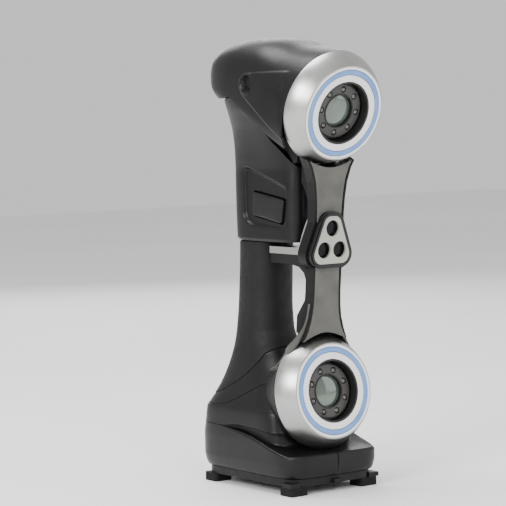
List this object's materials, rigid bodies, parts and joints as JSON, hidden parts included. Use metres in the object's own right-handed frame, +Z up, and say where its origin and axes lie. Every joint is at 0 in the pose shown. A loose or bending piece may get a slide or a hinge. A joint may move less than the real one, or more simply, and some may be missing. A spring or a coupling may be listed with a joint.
{
  "type": "handheld 3d scanner",
  "caption": "Upright handheld 3-D scanner with ring-lit cameras above and below a laser unit, a pistol grip, thumb buttons, a trigger and a flat foot.",
  "frame": {"origin": "centre of the part's box at the floor that the feet stand on", "axes": "+Z up along the scanner, -Y the direction that the cameras look, +X across the width"},
  "size_m": [0.0764, 0.1232, 0.2927],
  "materials": {
    "shell_black": "satin moulded black",
    "dark_plastic": "matt moulded black",
    "grip_rubber": "soft-touch rubber",
    "foot_rubber": "matt rubber",
    "core_grey": "moulded",
    "screw_steel": "blackened steel",
    "frame_grey": "fine texture",
    "cover_grey": "fine texture",
    "silver_paint": "satin silver paint",
    "pod_black": "fine texture",
    "plate_pale": "bead blasted",
    "dark_glass": "coated",
    "brass_part": "turned",
    "bare_aluminium": "machined",
    "status_lens": "frosted",
    "white_ring": "satin white",
    "blue_ring": "frosted light guide",
    "bore_black": "anti-glare black",
    "led_plate_grey": "matt",
    "led_clear": "clear epoxy",
    "board_green": "solder mask",
    "lens_glass": "coated",
    "lens_metal": "anodised black",
    "camera_grey": "anodised",
    "button_black": "satin",
    "switch_grey": "moulded",
    "socket_steel": "plated"
  },
  "bodies": {
    "scanner": {"head_shell": "shell_black", "neck_frame": "dark_plastic", "block_left": "shell_black", "block_right": "shell_black", "grip_sleeve": "grip_rubber", "handle_core": "core_grey", "grip_collar": "shell_black", "base_left": "shell_black", "base_right": "shell_black", "bottom_plate": "dark_plastic", "rubber_feet": "foot_rubber", "bottom_screws": "screw_steel", "front_frame": "frame_grey", "bridge_strut": "silver_paint", "strut_cover": "dark_plastic", "front_cover": "cover_grey", "laser_pod": "pod_black", "aperture_plate": "plate_pale", "laser_windows": "dark_glass", "laser_modules": "brass_part", "laser_heat_sink": "bare_aluminium", "optical_backbone": "bare_aluminium", "head_screws": "screw_steel", "status_window": "status_lens", "upper_bezel": "silver_paint", "upper_face_ring": "white_ring", "upper_light_ring": "blue_ring", "upper_bore_sleeve": "bore_black", "upper_led_plate": "led_plate_grey", "upper_leds": "led_clear", "upper_led_board": "board_green", "upper_lens_cell": "bore_black", "upper_lens_glass": "lens_glass", "upper_lens_barrel": "lens_metal", "upper_camera": "camera_grey", "lower_bezel": "silver_paint", "lower_face_ring": "white_ring", "lower_light_ring": "blue_ring", "lower_bore_sleeve": "bore_black", "lower_led_plate": "led_plate_grey", "lower_leds": "led_clear", "lower_led_board": "board_green", "lower_lens_cell": "bore_black", "lower_lens_glass": "lens_glass", "lower_lens_barrel": "lens_metal", "lower_camera": "camera_grey", "button_switches": "switch_grey", "trigger_pin": "screw_steel", "trigger_switch": "switch_grey", "control_board": "board_green", "main_board": "board_green", "power_socket": "switch_grey", "data_socket": "socket_steel"},
    "trigger": {"trigger": "button_black"},
    "button_left": {"side_button_left": "button_black"},
    "button_right": {"side_button_right": "button_black"}
  },
  "joints": [
    {"name": "trigger_pull", "type": "hinge", "parent": "scanner", "child": "trigger", "pos_m": [0, -0.0075, 0.20539], "axis": [1, 0, 0], "range_deg": [0, 6], "stiffness_Nm_per_rad": 0.6, "springref_deg": -2.86},
    {"name": "left_button_press", "type": "slide", "parent": "scanner", "child": "button_left", "axis": [1, 0, 0], "range_m": [0, 0.0012], "stiffness_N_per_m": 900, "springref_m": -0.001},
    {"name": "right_button_press", "type": "slide", "parent": "scanner", "child": "button_right", "axis": [-1, 0, 0], "range_m": [0, 0.0012], "stiffness_N_per_m": 900, "springref_m": -0.001}
  ]
}
